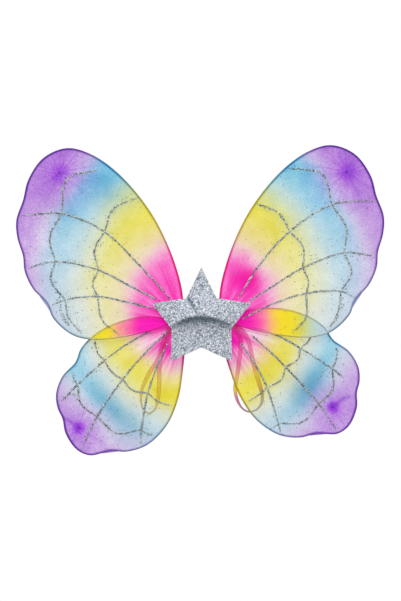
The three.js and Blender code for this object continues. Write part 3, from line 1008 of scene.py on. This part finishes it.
def make_veins(name):
    """Beads of glitter glue squeezed along hand-drawn lines, thick and thin, on the front layer."""
    form = WINGS[name]["form"]
    drawing = VEINS[name]
    seed = 11.3 * list(WINGS).index(name)
    beads = []
    edge = edge_line(form, 500)
    lines = [(points, False) for points in drawing["ribs"] + drawing["scallops"]]
    lines += [(points, True) for points in SMEARS.get(name, [])]
    for k, (points, smear) in enumerate(lines):
        length = length_of(points)
        line = spline(points, max(12, int(length / 1.8)))
        shifts = (1.5, 4.5)
        wobble = np.array([[noise.noise(Vector((p[0] / 9, p[1] / 9, seed + c))) for c in shifts] for p in line])
        line = line + 0.35 * wobble
        radii = []
        for p in line:
            rough = noise.noise(Vector((p[0] / 2.2, p[1] / 2.2, seed))) * 0.5
            slow = noise.noise(Vector((p[0] / 16, p[1] / 16, seed + 9))) * 0.3
            radii.append(1 + rough + slow)
        inset = away_from_edge(line, edge)
        ends = np.minimum(np.arange(len(line)), np.arange(len(line))[::-1])
        radii = np.array(radii) * np.clip(0.45 + ends * 0.3, 0, 1) * np.clip(inset / 6, 0.45, 1)
        radii = radii * 2.6 if smear else radii
        lift = pleats(form, name, line) * np.clip(inset / 9, 0, 1) + 0.22 * (1 - np.exp(-inset / 20))
        middle = placed(name, line, lift * MM - FABRIC_R)
        bead = drawn_line(f"bead_{k}", middle, VEIN_W / 2, radii, sides=1)
        mesh = bead.data
        co = np.empty(len(mesh.vertices) * 3, np.float32)
        mesh.vertices.foreach_get("co", co)
        co = co.reshape(-1, 3)
        nearest = np.argmin(np.linalg.norm(co[:, None, ::2] - middle[None, :, ::2], axis=2), axis=1)
        base = middle[nearest, 1]
        co[:, 1] = base + (co[:, 1] - base) * (0.12 if smear else VEIN_RISE)
        mesh.vertices.foreach_set("co", co.ravel())
        thin = np.clip(inset[nearest] / 40, 0, 1)
        cover = np.full(len(thin), 0.2) if smear else 0.42 + 0.36 * thin
        side = np.linalg.norm(co[:, ::2] - middle[nearest, ::2], axis=1) / (VEIN_W / 2)
        cover = cover - 0.25 * np.clip(side - 0.6, 0, 1)
        mesh.attributes.new("cover", "FLOAT", "POINT").data.foreach_set("value", cover.astype(np.float32))
        beads.append(bead)
    piece = join(beads, f"{name}_glitter_lines")
    smooth(piece, 70)
    return give(piece, GLITTER_GLUE, "glitter", f"{name}_wing", f"{name}_glitter_veins")


def make_toe_tie(name):
    """The gathered toe: thread wound round a pinch of nylon, behind the wing."""
    at = placed(name, [VEINS[name]["toe"]])[0]
    deselect_all()
    bpy.ops.mesh.primitive_uv_sphere_add(segments=20, ring_count=12, radius=2.1 * MM,
                                         location=(at[0], at[1] + 1.5 * MM, at[2]))
    pinch = bpy.context.active_object
    pinch.scale = (1, 0.62, 1)
    settle(pinch)
    windings = []
    for k in range(4):
        ring = []
        for i in range(30):
            angle = 2 * math.pi * i / 30
            r = (2.0 + 0.12 * math.sin(3 * angle + k)) * MM
            depth = 1.0 + 0.36 * k + 0.12 * math.sin(angle * 2 + k)
            ring.append((at[0] + r * math.cos(angle), at[1] + depth * MM, at[2] + r * math.sin(angle)))
        windings.append(drawn_line(f"winding_{k}", ring, 0.2 * MM, sides=1, closed=True))
    piece = join([pinch, *windings], f"{name}_wound_toe")
    smooth(piece, 60)
    return give(piece, PURPLE_THREAD, "thread", f"{name}_wing", f"{name}_toe_tie")


def make_wings():
    for name in WINGS:
        wire = make_wire(name)
        sleeve = make_sleeve(name)
        make_veins(name)
        make_toe_tie(name)


# ---------- the middle: star, wrap, tails, glue and pad ----------

def star_painted_shade(x, z):
    """Painted shade for the foam's colour: under the ridge and along the crease, where shade falls."""
    below = (9.0 - 10.5 * (x / 37) ** 2) - z
    reach = 3.0 + 5.6 * math.sqrt(max(0.0, 1 - (x / 40) ** 2))
    under = math.exp(-((below - 1.5) / reach) ** 2) if below > 1.5 else math.exp(-((below - 1.5) / 1.6) ** 2)
    across = (x + 13) * 0.88 + (z - 25) * 0.47
    crease = 1.3 * math.exp(-((across / 2.1) ** 2)) * math.exp(-(((z - 25) / 9) ** 2))
    return min(1.0, max(under * max(0.0, 1 - (x / 41) ** 4), crease))


def star_relief(x, z):
    """How far the foam stands forward: a ridge over the bundle, a dip under it, a crease and limp tips."""
    below = (9.0 - 10.5 * (x / 37) ** 2) - z  # from the ridge line downwards
    ridge = math.exp(-below / 5.2) if below > 0 else math.exp(-((below / 27) ** 2))
    ridge *= 6.4 * math.sqrt(max(0.0, 1 - (x / 44) ** 2))
    across = (x + 13) * 0.88 + (z - 25) * 0.47
    crease = math.exp(-((across / 2.6) ** 2)) * math.exp(-(((z - 24) / 13) ** 2))
    droop = 0.2 * (math.hypot(x, z - AXIS_Z_OF_STAR / MM) / 67) ** 2
    wave = 0.9 * noise.noise(Vector((x / 24, z / 24, 3)))
    return ridge - 2.0 * crease - droop + wave + 0.4


def make_star():
    """Soft glitter foam cut to a star: it rises over the bundle and falls away to its tips."""
    middle_z = AXIS_Z_OF_STAR
    tips, notches = 67.3 * MM, (33.5, 40.5, 36.5, 40.5, 33.5)
    deselect_all()
    thickness = STAR_HIGH[1] - STAR_LOW[1]
    bpy.ops.mesh.primitive_circle_add(vertices=10, radius=tips, fill_type="NGON",
                                      location=(0, STAR_HIGH[1], middle_z), rotation=(math.pi / 2, 0, 0))
    star = bpy.context.active_object
    settle(star)
    for vertex in star.data.vertices:
        angle = math.atan2(vertex.co.z - middle_z, vertex.co.x)
        step = round((math.degrees(angle) - 90) / 36) % 10
        reach = tips if step % 2 == 0 else notches[step // 2] * MM
        turn = math.radians(90 + 36 * step)
        vertex.co = (reach * math.cos(turn), STAR_HIGH[1], middle_z + reach * math.sin(turn))
    only(star)
    bpy.ops.object.mode_set(mode="EDIT")
    bpy.ops.mesh.select_all(action="SELECT")
    bpy.ops.mesh.bevel(offset=1.6 * MM, segments=3, affect="VERTICES")
    bpy.ops.mesh.select_all(action="SELECT")
    bpy.ops.mesh.quads_convert_to_tris()
    bpy.ops.object.mode_set(mode="OBJECT")
    # an even sheet of small faces, cut along lines across and up
    only(star)
    bpy.ops.object.mode_set(mode="EDIT")
    for axis, span in ((0, range(-66, 67, 2)), (2, range(-56, 76, 2))):
        for at in span:
            bpy.ops.mesh.select_all(action="SELECT")
            normal = (1, 0, 0) if axis == 0 else (0, 0, 1)
            point = (at * MM, 0, 0) if axis == 0 else (0, 0, at * MM)
            bpy.ops.mesh.bisect(plane_co=point, plane_no=normal)
    bpy.ops.object.mode_set(mode="OBJECT")
    offset = 1.0 if star.data.polygons[0].normal.y < 0 else -1.0
    add_modifier(star, "SOLIDIFY", thickness=thickness, offset=offset)
    apply_modifiers(star)
    painted_shades = []
    for vertex in star.data.vertices:
        x, z = vertex.co.x / MM, vertex.co.z / MM
        vertex.co.y -= star_relief(x, z) * MM
        painted_shades.append(star_painted_shade(x, z))
    # a painted-shade mask for the foam's colour, under the ridge and along the crease
    star.data.attributes.new("painted_shade", "FLOAT", "POINT").data.foreach_set("value", painted_shades)
    named(star, "glitter_foam_star")
    face_outwards(star)
    smooth(star, 35)
    give(star, STAR_FACE, "star_foam", "middle", "glitter_star")
    star.data.materials.append(STAR_BACK)
    for face in star.data.polygons:
        if face.normal.y > -0.35:
            face.material_index = 1
    return star


def make_wrap():
    """Cloth tape wound round the bundle in overlapping turns."""
    radius = (WRAP_HIGH[2] - WRAP_LOW[2]) / 2
    half = (WRAP_HIGH[0] - WRAP_LOW[0]) / 2
    wall = 1.1 * MM
    turns, steps = 5, 44
    profile = 40
    vertices, faces = [], []
    for i in range(profile + 1):
        share = i / profile
        x = -half + 2 * half * share
        for j in range(steps):
            angle = 2 * math.pi * j / steps
            phase = (share * turns + j / steps) % 1.0
            step = 0.5 * MM * (1 - phase) ** 1.5
            r = radius - 0.5 * MM + step
            vertices.append((x, AXIS_Y + r * math.cos(angle), r * math.sin(angle)))
    for i in range(profile):
        for j in range(steps):
            k = (j + 1) % steps
            faces.append((i * steps + j, i * steps + k, (i + 1) * steps + k, (i + 1) * steps + j))
    piece = mesh_piece("wound_tape", vertices, faces)
    uv = piece.data.uv_layers.new(name="UVMap")
    for loop in piece.data.loops:
        i, j = divmod(loop.vertex_index, steps)
        uv.data[loop.index].uv = (i / profile * 2 * half, j / steps * 2 * math.pi * radius)
    add_modifier(piece, "SOLIDIFY", thickness=wall, offset=-1.0)
    apply_modifiers(piece)
    face_outwards(piece)
    smooth(piece, 50)
    return give(piece, TAPE, "tape", "middle", "binding_wrap")


def make_tail(node):
    """Two wire ends twisted together."""
    low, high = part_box(node)
    y, z = (low[1] + high[1]) / 2, (low[2] + high[2]) / 2
    strands = []
    for k in range(2):
        line = []
        for i in range(61):
            share = i / 60
            angle = 2 * math.pi * (3.5 * share + k / 2)
            line.append((low[0] + (high[0] - low[0]) * share, y + 0.72 * MM * math.cos(angle),
                         z + 0.72 * MM * math.sin(angle)))
        strands.append(drawn_line(f"strand_{k}", line, 0.7 * MM, sides=1))
    piece = join(strands, f"{node}_twist")
    smooth(piece, 60)
    return give(piece, WIRE, "wire", "middle", node)


def make_glue(node):
    """A flattened bead of hot glue."""
    low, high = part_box(node)
    deselect_all()
    middle = [(a + b) / 2 for a, b in zip(low, high)]
    bpy.ops.mesh.primitive_cube_add(size=1, location=middle)
    glue = bpy.context.active_object
    glue.scale = [b - a for a, b in zip(low, high)]
    settle(glue)
    only(glue)
    bpy.ops.object.mode_set(mode="EDIT")
    bpy.ops.mesh.select_all(action="SELECT")
    bpy.ops.mesh.subdivide(number_cuts=6)
    bpy.ops.object.mode_set(mode="OBJECT")
    for vertex in glue.data.vertices:
        x = (vertex.co.x - middle[0]) / (high[0] - low[0])
        z = (vertex.co.z - middle[2]) / (high[2] - low[2])
        pull = 1 - 0.22 * max(abs(x), abs(z)) ** 4 * 8
        vertex.co.x = middle[0] + (vertex.co.x - middle[0]) * (0.92 + 0.08 * pull)
        vertex.co.z = middle[2] + (vertex.co.z - middle[2]) * (0.9 + 0.1 * pull)
    add_modifier(glue, "BEVEL", width=0.15 * MM, segments=2)
    apply_modifiers(glue)
    named(glue, f"{node}_bead")
    smooth(glue, 50)
    return give(glue, GLUE, "glue", "middle", node)


def make_pad():
    """The felt pad: a rounded slab with soft edges."""
    low, high = PAD_LOW, PAD_HIGH
    deselect_all()
    middle = [(a + b) / 2 for a, b in zip(low, high)]
    bpy.ops.mesh.primitive_cube_add(size=1, location=middle)
    pad = bpy.context.active_object
    pad.scale = [b - a for a, b in zip(low, high)]
    settle(pad)
    only(pad)
    bpy.ops.object.mode_set(mode="EDIT")
    mesh = bmesh.from_edit_mesh(pad.data)
    for edge in mesh.edges:
        edge.select = abs(edge.verts[0].co.y - edge.verts[1].co.y) > 0.5 * (high[1] - low[1])
    mesh.select_flush(False)
    bmesh.update_edit_mesh(pad.data)
    bpy.ops.mesh.select_mode(type="EDGE")
    mesh = bmesh.from_edit_mesh(pad.data)
    for edge in mesh.edges:
        edge.select = abs(edge.verts[0].co.y - edge.verts[1].co.y) > 0.5 * (high[1] - low[1])
    bmesh.update_edit_mesh(pad.data)
    bpy.ops.mesh.bevel(offset=6 * MM, segments=8, affect="EDGES")
    bpy.ops.mesh.select_mode(type="VERT")
    bpy.ops.object.mode_set(mode="OBJECT")
    add_modifier(pad, "BEVEL", width=0.7 * MM, segments=3, angle_limit=math.radians(40))
    add_modifier(pad, "REMESH", mode="VOXEL", voxel_size=0.7 * MM)
    add_modifier(pad, "SMOOTH", iterations=4, factor=0.5)
    apply_modifiers(pad)
    for vertex in pad.data.vertices:
        fuzz = noise.noise(Vector(vertex.co) * 900) * 0.12 + noise.noise(Vector(vertex.co) * 150) * 0.12
        vertex.co += vertex.normal * (fuzz - 0.1) * MM
    named(pad, "felt_back_pad")
    smooth(pad, 80)
    give(pad, FELT, "felt", "middle", "back_pad")
    return pad


AXIS_Z_OF_STAR = 5 * MM


def make_middle():
    make_star()
    make_wrap()
    for side in ("left", "right"):
        for form in ("upper", "lower"):
            make_tail(f"{side}_{form}_wire_tail")
    make_glue("star_glue")
    make_glue("pad_glue")
    make_pad()


# ---------- knots ----------

def make_knot(side_name, side):
    """Thread wound over the gathered nylon, round and round and crossing."""
    low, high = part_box(f"{side_name}_root_knot")
    centre = Vector([(a + b) / 2 for a, b in zip(low, high)])
    radius = (high[0] - low[0]) / 2
    deselect_all()
    bpy.ops.mesh.primitive_uv_sphere_add(segments=28, ring_count=18, radius=radius - 0.45 * MM, location=centre)
    core = bpy.context.active_object
    settle(core)
    line = []
    turns, steps = 15, 34
    for i in range(turns * steps + 1):
        share = i / (turns * steps)
        angle = 2 * math.pi * i / steps
        lean = 0.5 * math.sin(2 * math.pi * share * 2.3) + 0.25 * math.sin(2 * math.pi * share * 5.1)
        ring = Vector((0.78 * math.sin(2 * math.pi * share * 1.7), math.cos(angle), math.sin(angle)))
        ring.x += lean * 0.35 * math.sin(angle)
        line.append(centre + ring.normalized() * (radius - 0.3 * MM))
    winding = drawn_line("winding", line, 0.26 * MM, sides=1)
    piece = join([core, winding], f"{side_name}_thread_knot")
    smooth(piece, 70)
    return give(piece, PINK_THREAD, "thread", f"{side_name}_knot", f"{side_name}_root_knot")


def make_strap_tack(side_name, side):
    """The bar of zigzag stitches that holds the elastic's two ends to the knot."""
    low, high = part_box(f"{side_name}_strap_tack")
    middle = [(a + b) / 2 for a, b in zip(low, high)]
    stitches = []
    rows = 9
    width, height = high[0] - low[0], high[2] - low[2]
    for k in range(3):
        line = []
        for i in range(rows + 1):
            x = low[0] + width * i / rows
            z = middle[2] + (k - 1) * height * 0.3 + (1 if i % 2 else -1) * height * 0.13
            line.append((x, middle[1] + (0.1 if i % 2 else -0.1) * MM, z))
        stitches.append(drawn_line(f"stitch_{k}", line, 0.2 * MM, sides=1))
    piece = join(stitches, f"{side_name}_bar_tack")
    smooth(piece, 60)
    return give(piece, PINK_THREAD, "thread", f"{side_name}_knot", f"{side_name}_strap_tack")


def make_neck(side_name, side):
    """Gathered nylon between the wrap and the knot."""
    start = (WRAP_HIGH[0] - 1.5 * MM) * side
    end = (KNOT_X - 1.0 * MM) * side
    around, along = 60, 16
    vertices, faces = [], []
    for i in range(along + 1):
        share = i / along
        x = start + (end - start) * share
        for j in range(around):
            angle = 2 * math.pi * j / around
            pleat = 0.35 * math.sin(angle * 11 + 2 * share) + 0.2 * math.sin(angle * 17 - 3 * share)
            r = (3.5 - 0.4 * math.sin(math.pi * share) - 0.5 * max(0.0, math.cos(angle)) + pleat) * MM
            vertices.append((x, AXIS_Y + r * math.cos(angle), r * math.sin(angle)))
    for i in range(along):
        for j in range(around):
            k = (j + 1) % around
            faces.append((i * around + j, i * around + k, (i + 1) * around + k, (i + 1) * around + j))
    piece = mesh_piece(f"{side_name}_gathered_neck", vertices, faces)
    flat = np.array([(10.0, 10.0)] * len(vertices))
    add_attributes(piece, f"{side_name}_upper", flat, np.zeros(len(vertices)))
    uv = piece.data.uv_layers.new(name="UVMap")
    for loop in piece.data.loops:
        i, j = divmod(loop.vertex_index, around)
        uv.data[loop.index].uv = (j / around * 25 * MM, i / along * abs(end - start))
    face_outwards(piece)
    smooth(piece, 80)
    piece.data.materials.append(NYLON["upper"])
    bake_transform(piece)
    return piece


# ---------- arm loops ----------

def make_arm_loop(side_name, side):
    """Flat elastic: its faces show on the way down and it turns on edge round the bottom."""
    node = f"{side_name}_arm_loop"
    low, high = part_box(node)
    thick = 1.1 * MM
    layers = (low[1] + thick / 2, high[1] - thick / 2)
    route = ARM_LOOPS[side_name]
    points = []
    for i, (x, z) in enumerate(route):
        share = min(max((i / (len(route) - 1) - 0.3) / 0.4, 0), 1)
        share = share * share * (3 - 2 * share)
        points.append((x * MM, layers[0] + (layers[1] - layers[0]) * share, z * MM))
    count = 240
    line = spline(points, count)
    length = length_of(line)
    along = np.gradient(line, axis=0)
    along /= np.linalg.norm(along, axis=1)[:, None]
    half_w, half_t = STRAP_W / 2, STRAP_T / 2
    section = [(-1, 0.0), (-0.93, 0.8), (-0.5, 1.0), (0, 1.0), (0.5, 1.0), (0.93, 0.8),
               (1, 0.0), (0.93, -0.8), (0.5, -1.0), (0, -1.0), (-0.5, -1.0), (-0.93, -0.8)]
    vertices, faces = [], []
    for i in range(count):
        share = i / (count - 1)
        twist = math.radians(78) * math.exp(-(((share - 0.5) / 0.13) ** 2)) + math.radians(14) * math.sin(
            share * 2 * math.pi)
        t = along[i]
        flat_normal = np.array([0.0, 1.0, 0.0])
        flat_normal -= t * np.dot(flat_normal, t)
        flat_normal /= np.linalg.norm(flat_normal)
        sideways = np.cross(flat_normal, t)
        normal = flat_normal * math.cos(twist) + sideways * math.sin(twist)
        wide = np.cross(t, normal)
        for a, b in section:
            vertices.append(line[i] + wide * a * half_w + normal * b * half_t)
    ring = len(section)
    for i in range(count - 1):
        for j in range(ring):
            k = (j + 1) % ring
            faces.append((i * ring + j, i * ring + k, (i + 1) * ring + k, (i + 1) * ring + j))
    faces.append(tuple(range(ring))[::-1])
    faces.append(tuple(range((count - 1) * ring, count * ring)))
    piece = mesh_piece(f"{side_name}_flat_elastic", vertices, faces)
    uv = piece.data.uv_layers.new(name="UVMap")
    for face in piece.data.polygons:
        for loop_index in face.loop_indices:
            i, j = divmod(piece.data.loops[loop_index].vertex_index, ring)
            uv.data[loop_index].uv = (section[j][0] * half_w, i / (count - 1) * length)
    face_outwards(piece)
    smooth(piece, 50)
    give(piece, ELASTIC[side_name], "elastic", f"{side_name}_loop", node)
    return piece


# ---------- room: floor, lights and camera ----------

def make_room():
    deselect_all()
    bpy.ops.mesh.primitive_circle_add(vertices=96, radius=2.6, fill_type="NGON", location=(0, 0, -1.0))
    floor = named(bpy.context.active_object, "floor")
    settle(floor)
    material, n, shader = new_material("pale_floor")
    n.put(shader.inputs["Base Color"], n.mix(n.noise(n.place(), 3.0), tone("#f3f2f3"), tone("#f8f8f9")))
    shader.inputs["Roughness"].default_value = 0.9
    floor.data.materials.append(material)

    world = bpy.data.worlds.new("studio")
    bpy.context.scene.world = world
    world.use_nodes = True
    n = Nodes(world.node_tree)
    background = world.node_tree.nodes["Background"]
    seen = n.add("ShaderNodeLightPath").outputs["Is Camera Ray"]
    n.put(background.inputs["Color"], (1, 1, 1, 1))
    n.put(background.inputs["Strength"], n.span(seen, 0.0, 1.0, 0.52, 1.0))

    for label, place, size, power in (("key", (-0.5, -1.2, 1.7), 1.5, 7.0), ("fill", (1.3, -1.4, 0.5), 1.0, 0.8),
                                      ("back", (0.5, 1.5, 1.3), 1.0, 1.4)):
        deselect_all()
        bpy.ops.object.light_add(type="AREA", location=place)
        lamp = named(bpy.context.active_object, f"{label}_light")
        lamp.data.size = size
        lamp.data.energy = power
        lamp.data.spread = math.radians(55)
        aim = Vector((0, 0, 0.02)) - Vector(place)
        lamp.rotation_euler = aim.to_track_quat("-Z", "Y").to_euler()

    scene = bpy.context.scene
    scene.view_settings.view_transform = "Standard"
    lens, sensor = 85.0, 36.0
    shown_height = 0.7813  # of the plane of the wings
    distance = shown_height * lens / sensor
    bpy.ops.object.camera_add(location=(-0.0012, AXIS_Y - distance, 0.02925), rotation=(math.pi / 2, 0, 0))
    camera = bpy.context.active_object
    camera.name = "camera"
    camera.data.lens = lens
    camera.data.sensor_width = sensor
    camera.data.clip_start = 0.01
    scene.camera = camera


# ---------- the whole object ----------

make_room()
for side_name, side in (("left", -1), ("right", 1)):
    make_arm_loop(side_name, side)
    make_knot(side_name, side)
    make_strap_tack(side_name, side)
    make_neck(side_name, side)
make_wings()
make_middle()
